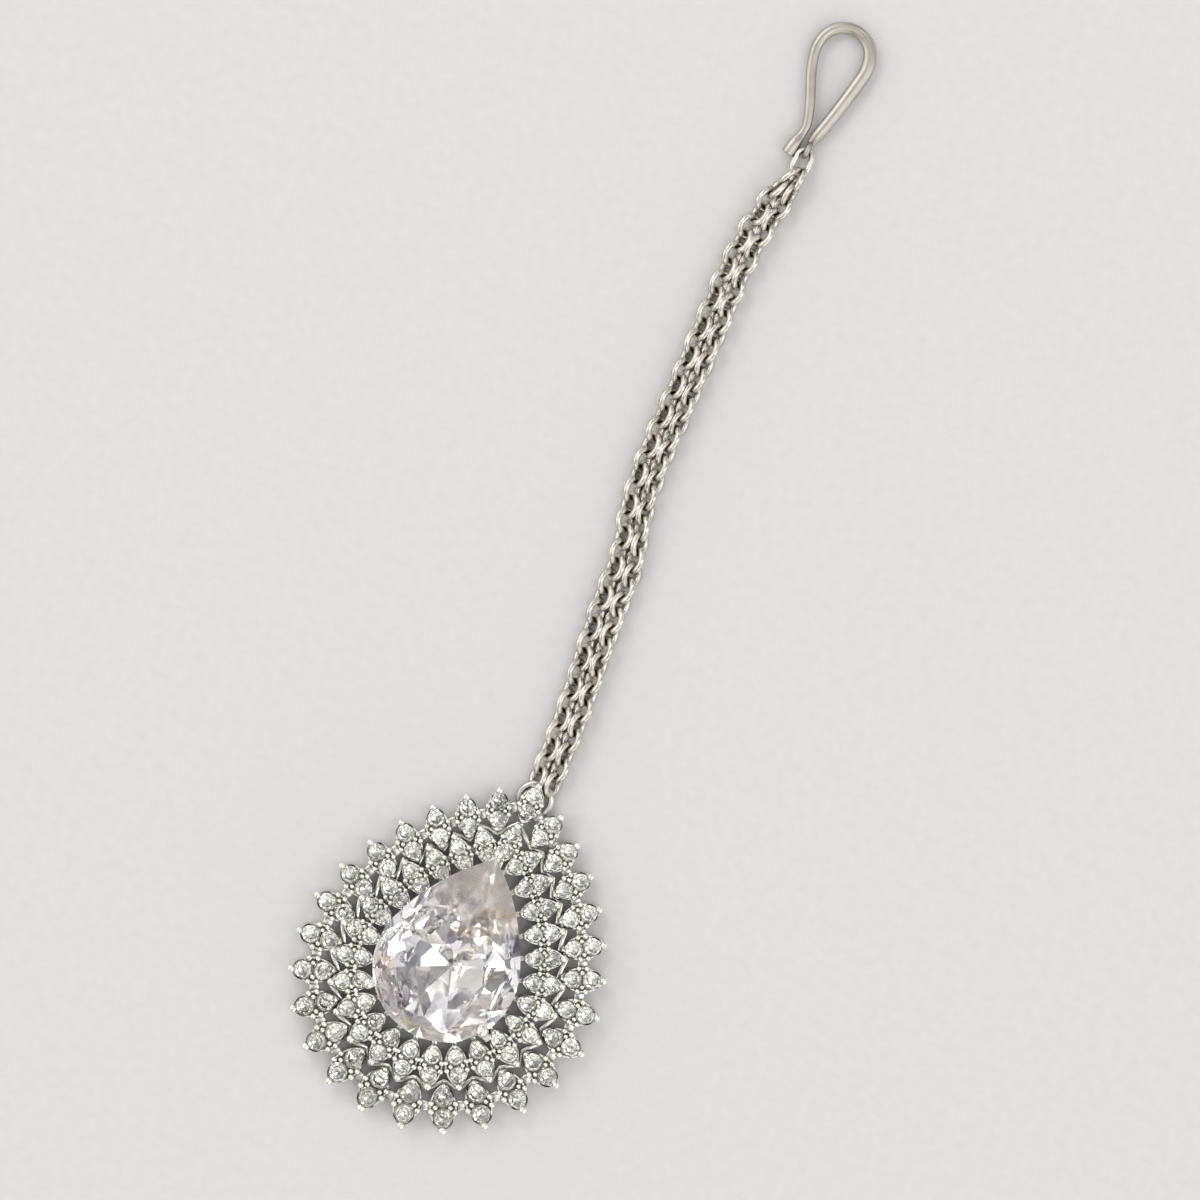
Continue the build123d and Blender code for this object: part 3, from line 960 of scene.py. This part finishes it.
def make_pendant_frame():
    """The pendant's cast silver body."""
    metal = bmesh.new()
    for add in (add_cups, add_pads, add_ties, add_seat, add_prongs, add_staple):
        add(metal)
    piece = finish_piece(metal, "pendant_setting", [silver_cast, silver_bed_painted_shade, silver_bead_painted_light])
    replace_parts(piece, "pendant_frame")


def bead_spots(row):
    """Each bead of a cup, with its place across and along the cup."""
    half_length = row.length * CUP_PROFILE[-1].spread / 2
    half_width = row.width * CUP_PROFILE[-1].spread / 2
    spots = [(0, half_length - TIP_BEAD.inset, TIP_BEAD), (0, ROOT_BEAD.inset - half_length, ROOT_BEAD)]
    for side in (1, -1):
        for way in (1, -1):
            spots.append((side * (half_width - WAIST_BEAD.inset), way * WAIST_STEP, WAIST_BEAD))
        spots.append((side * (half_width - NECK_BEAD.inset), 0, NECK_BEAD))
    return spots


def make_pave():
    """The small stones of the cups, and the beads that hold them."""
    stones, beads = bmesh.new(), bmesh.new()
    draw = random.Random(27)
    for row in (OUTER_ROW, INNER_ROW):
        stone, spots = small_stone(row.stone), bead_spots(row)
        for cup in cups_of(row):
            for side in (1, -1):
                seat = Matrix.Translation((0, side * cup.size * row.spread, row.top - STONE_SINK))
                spin = Matrix.Rotation(draw.uniform(0, pi), 4, "Z")
                tilt = Matrix.Rotation(draw.uniform(-STONE_TILT, STONE_TILT), 4, "X")
                put(stones, stone, cup.place @ seat @ spin @ tilt @ Matrix.Scale(cup.size, 4))
            for across, along, bead in spots:
                ball = round_bead(bead.radius * cup.size * draw.uniform(BEAD_SMALLEST, BEAD_LARGEST))
                x = cup.size * across + draw.uniform(-BEAD_WANDER, BEAD_WANDER)
                y = cup.size * along + draw.uniform(-BEAD_WANDER, BEAD_WANDER)
                put(beads, ball, cup.place @ Matrix.Translation((x, y, row.top + bead.rise)))
                ball.free()
    finish_piece(stones, "pave_stones", [pave_crystal, pave_foil], facets=True)
    finish_piece(beads, "pave_beads", [silver_bead_painted_light])


def grind(stone, azimuth, level, slope, side, inset=0.0):
    """Cuts a facet that faces the azimuth and meets the pear's outline at the level."""
    inwards = -Vector((sin(azimuth), cos(azimuth), 0)) * inset
    point = outline_point(STONE_OUTLINE, azimuth) + inwards + Vector((0, 0, level))
    cut(stone, point, facet_normal(azimuth, slope, side))


def culet_slope(azimuth, level):
    """Slope of the facet that faces the azimuth and runs from the girdle down to the culet."""
    facing = Vector((sin(azimuth), cos(azimuth), 0))
    reach = (outline_point(STONE_OUTLINE, azimuth) - CULET).dot(facing)
    return atan2(level - CULET_HEIGHT, reach)


def azimuths(turns):
    """Azimuths of facets that come in pairs, right and left of the tip. The one at 180 is single."""
    return [radians(side * turn) for turn in turns for side in ((1, -1) if turn < 180 else (1,))]


def make_centre_stone():
    """Pear brilliant, cut facet by facet out of a pear-shaped blank."""
    stone = bmesh.new()
    girdle_top = GIRDLE_HEIGHT + GIRDLE_THICKNESS
    main_top, main_bottom = girdle_top + MAIN_RISE, GIRDLE_HEIGHT - MAIN_DROP
    base = pear_face(stone, STONE_OUTLINE)
    bmesh.ops.translate(stone, vec=(0, 0, CULET_HEIGHT), verts=stone.verts)
    raise_face(stone, base, girdle_top + CROWN_HEIGHT - CULET_HEIGHT)
    for azimuth in azimuths(HALVES):
        grind(stone, azimuth, girdle_top, radians(HALF_SLOPE), 1)
        lower_slope = culet_slope(azimuth, GIRDLE_HEIGHT) + radians(LOWER_HALF_STEEPER)
        grind(stone, azimuth, GIRDLE_HEIGHT, lower_slope, -1)
    for azimuth in azimuths(TIP_MAINS):
        grind(stone, azimuth, main_top, radians(MAIN_SLOPE), 1)
    for azimuth in azimuths(MAINS):
        grind(stone, azimuth, main_top, radians(MAIN_SLOPE), 1)
        grind(stone, azimuth, main_bottom, culet_slope(azimuth, main_bottom), -1)
    for azimuth in azimuths(STARS):
        level = girdle_top + CROWN_HEIGHT - STAR_DROP
        grind(stone, azimuth, level, radians(STAR_SLOPE), 1, inset=STAR_INSET)
    bmesh.ops.remove_doubles(stone, verts=stone.verts, dist=0.002)
    bmesh.ops.recalc_face_normals(stone, faces=stone.faces)
    back_with_foil(stone)
    piece = finish_piece(stone, "pear_stone", [pear_crystal, pear_foil], facets=True)
    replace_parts(piece, "centre_stone")


# ======================================================================= chain and hook


def route_points(side):
    """Points along one strand's smooth line, in millimetres, read from a NURBS spline of its stops."""
    stops = [(stop.x + side * stop.gap / 2, stop.y, 0) for stop in CHAIN_STOPS]
    line = nurbs_line("strand_line", stops, resolution=24)
    curve = line.data
    mesh = bpy.data.meshes.new_from_object(line)
    points = [vert.co.copy() for vert in mesh.vertices]
    bpy.data.objects.remove(line)
    bpy.data.curves.remove(curve)
    bpy.data.meshes.remove(mesh)
    return points


def walk(points, count):
    """Evenly spaced places along the points, with their directions."""
    lengths = [0.0]
    for here, after in zip(points, points[1:]):
        lengths.append(lengths[-1] + (after - here).length)
    places = []
    index = 0
    for number in range(count):
        target = lengths[-1] * number / (count - 1)
        while index < len(points) - 2 and lengths[index + 1] < target:
            index += 1
        here, after = points[index], points[index + 1]
        share = (target - lengths[index]) / (lengths[index + 1] - lengths[index])
        places.append((here.lerp(after, share), (after - here).normalized()))
    return places


def lie_at(share):
    """How the links lie at their share of the strand's length."""
    after = next(lie for lie in LINK_LIES[1:] if share <= lie.share)
    before = LINK_LIES[LINK_LIES.index(after) - 1]
    part = (share - before.share) / (after.share - before.share)
    return Lie(*[start + part * (end - start) for start, end in zip(before, after)])


def make_strand(side, name, node, seed):
    """One cable strand of oval links, each rolled the other way from its neighbours."""
    radius = (LINK_WIDTH - LINK_WIRE) / 2
    link = wire_ring(radius, LINK_WIRE, around=20, section=10)
    bmesh.ops.scale(link, vec=(1, LINK_OVAL, 1), verts=link.verts)
    stretch(link, LINK_LENGTH - LINK_WIDTH * LINK_OVAL)
    points = route_points(side)
    length = sum((after - here).length for here, after in zip(points, points[1:]))
    count = round(length / LINK_PITCH) + 1
    draw = random.Random(seed)
    strand = bmesh.new()
    for number, (place, direction) in enumerate(walk(points, count)):
        inner_up = number % 2 == 0
        way = side if inner_up else -side
        lie = lie_at(number / (count - 1))
        steepness = lie.roll + (lie.spread if inner_up else -lie.spread)
        roll = radians(steepness) + draw.uniform(-ROLL_PLAY, ROLL_PLAY)
        height = LINK_WIRE / 2 + radius * sin(roll) + FLOOR_PLAY
        yaw = -atan2(direction.x, direction.y) + draw.uniform(-YAW_PLAY, YAW_PLAY)
        turn = Matrix.Rotation(yaw, 4, "Z") @ Matrix.Rotation(way * roll, 4, "Y")
        shift = lie.right - side * lie.closer if inner_up else 0.0
        x = shift + draw.uniform(-ACROSS_PLAY, ACROSS_PLAY)
        y = draw.uniform(-ALONG_PLAY, ALONG_PLAY)
        put(strand, link, Matrix.Translation(place + Vector((x, y, height))) @ turn)
    piece = finish_piece(strand, name, [silver_wire])
    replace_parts(piece, node)


def make_rings():
    """Jump ring behind the top cup, and the oval end ring."""
    jump = bmesh.new()
    ring = wire_ring(RING_RADIUS, RING_WIRE * RING_THICKENING, around=48, section=16)
    middle_z = RING_LOW_Z + RING_RADIUS * sin(radians(RING_TILT))
    tilt = Matrix.Rotation(radians(RING_TILT), 4, "X")
    put(jump, ring, Matrix.Translation((RING_X, RING_Y, middle_z)) @ tilt)
    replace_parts(finish_piece(jump, "pendant_jump_ring", [silver_wire]), "jump_ring")
    end = bmesh.new()
    oval = wire_ring((END_RING_WIDTH - END_RING_WIRE) / 2, END_RING_WIRE, around=40, section=14)
    stretch(oval, END_RING_LENGTH - END_RING_WIDTH)
    put(end, oval, Matrix.Translation((END_RING_X, END_RING_Y, HOOK_Z)))
    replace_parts(finish_piece(end, "chain_end_ring", [silver_wire]), "end_ring")


def make_hook():
    """Flat wire along a smooth line, wider where it was hammered, with an upright eye at its foot."""
    corners = [(x * HOOK_WIRE_WIDTH / 2, y * HOOK_WIRE_THICKNESS / 2, 0) for x, y in WIRE_CORNERS]
    section = nurbs_line("wire_section", corners, resolution=3, closed=True)
    line = nurbs_line("hook_line", [(point.x, point.y, HOOK_Z) for point in HOOK_POINTS], resolution=8)
    for control, point in zip(line.data.splines[0].points, HOOK_POINTS):
        control.radius = point.width
    line.data.twist_mode = "Z_UP"
    line.data.bevel_mode = "OBJECT"
    line.data.bevel_object = section
    line.data.use_fill_caps = True
    swept = line.evaluated_get(bpy.context.evaluated_depsgraph_get())
    shape = bmesh.new()
    shape.from_mesh(bpy.data.meshes.new_from_object(swept))
    bmesh.ops.remove_doubles(shape, verts=shape.verts, dist=0.002)
    bmesh.ops.recalc_face_normals(shape, faces=shape.faces)
    for item in (line, section):
        bpy.data.objects.remove(item)
    eye = wire_ring(EYE_RADIUS, EYE_WIRE, around=36, section=14)
    upright = Matrix.Rotation(pi / 2, 4, "Y")
    eye_y = END_RING_Y + (END_RING_LENGTH - END_RING_WIRE) / 2
    put(shape, eye, Matrix.Translation((EYE_X, eye_y, HOOK_Z)) @ upright)
    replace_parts(finish_piece(shape, "hair_hook", [hook_wire_painted_shade]), "hook")


# ======================================================================= studio


def make_floor():
    """Pale paper under the piece."""
    paper, tree, shader, place = new_material("floor_paper")
    shader.inputs["Roughness"].default_value = 0.9
    grain = add_noise(tree, place, PAPER_SCALE)
    tone = add_ramp(tree, grain, 0, (0.65, 0.65, 0.662), 1, (0.71, 0.71, 0.722))
    tree.links.new(tone, shader.inputs["Base Color"])
    shape = bmesh.new()
    bmesh.ops.create_grid(shape, x_segments=1, y_segments=1, size=FLOOR_HALF)
    mesh = bpy.data.meshes.new("floor")
    shape.to_mesh(mesh)
    shape.free()
    mesh.materials.append(paper)
    floor = show(bpy.data.objects.new("floor", mesh))


def make_room():
    """Soft room light: a bright ceiling, bright windows to the left and right, and dim ends."""
    world = bpy.data.worlds.new("studio")
    bpy.context.scene.world = world
    world.use_nodes = True
    tree = world.node_tree
    background = tree.nodes["Background"]
    background.inputs["Strength"].default_value = 0.8
    way = tree.nodes.new("ShaderNodeTexCoord").outputs["Generated"]
    parts = tree.nodes.new("ShaderNodeSeparateXYZ")
    tree.links.new(way, parts.inputs["Vector"])
    sideways = tree.nodes.new("ShaderNodeMath")
    sideways.operation = "ABSOLUTE"
    tree.links.new(parts.outputs["X"], sideways.inputs[0])
    windows = add_ramp(tree, sideways.outputs["Value"], 0.22, (0.42, 0.41, 0.45), 0.4, (1.5, 1.45, 1.36))
    height = add_ramp(tree, parts.outputs["Z"], 0.84, BLACK, 0.94, WHITE)
    ceiling = faded(tree, height, windows, (1.1, 1.1, 1.1))
    cloud = add_noise(tree, way, 3.0, detail=1)
    zones = add_ramp(tree, cloud, 0.4, (0.25, 0.25, 0.26), 0.5, (1.2, 1.2, 1.19))
    tree.links.new(multiplied(tree, ceiling, zones), background.inputs["Color"])


def make_lamps():
    """One broad soft lamp, and small ones all round that the facets catch."""
    for lamp in LAMPS:
        light = bpy.data.lights.new(lamp.name, "AREA")
        light.size = lamp.size
        light.energy = lamp.power
        holder = show(bpy.data.objects.new(lamp.name, light))
        holder.location = lamp.place
        holder.rotation_euler = (LAMP_AIM - Vector(lamp.place)).to_track_quat("-Z", "Y").to_euler()


def make_camera():
    """Camera straight above, turned so that the chain leans to the right."""
    lens = bpy.data.cameras.new("camera")
    lens.sensor_width = 36
    lens.lens = lens.sensor_width * VIEW_HEIGHT / VIEW_WIDTH
    lens.clip_start = 0.01
    camera = show(bpy.data.objects.new("camera", lens))
    camera.location = VIEW_MIDDLE + Vector((0, 0, VIEW_HEIGHT))
    camera.rotation_euler = (0, 0, VIEW_TURN)
    bpy.context.scene.camera = camera


def make_studio():
    """Everything round the piece."""
    scene = bpy.context.scene
    scene.view_settings.view_transform = "Standard"
    scene.cycles.max_bounces = 24
    scene.cycles.glossy_bounces = 16
    scene.cycles.transmission_bounces = 24
    make_floor()
    make_room()
    make_lamps()
    make_camera()


make_studio()
make_pendant_frame()
make_pave()
make_centre_stone()
make_rings()
make_strand(-1, "chain_links_left", "chain_strand_left", 3)
make_strand(1, "chain_links_right", "chain_strand_right", 4)
make_hook()
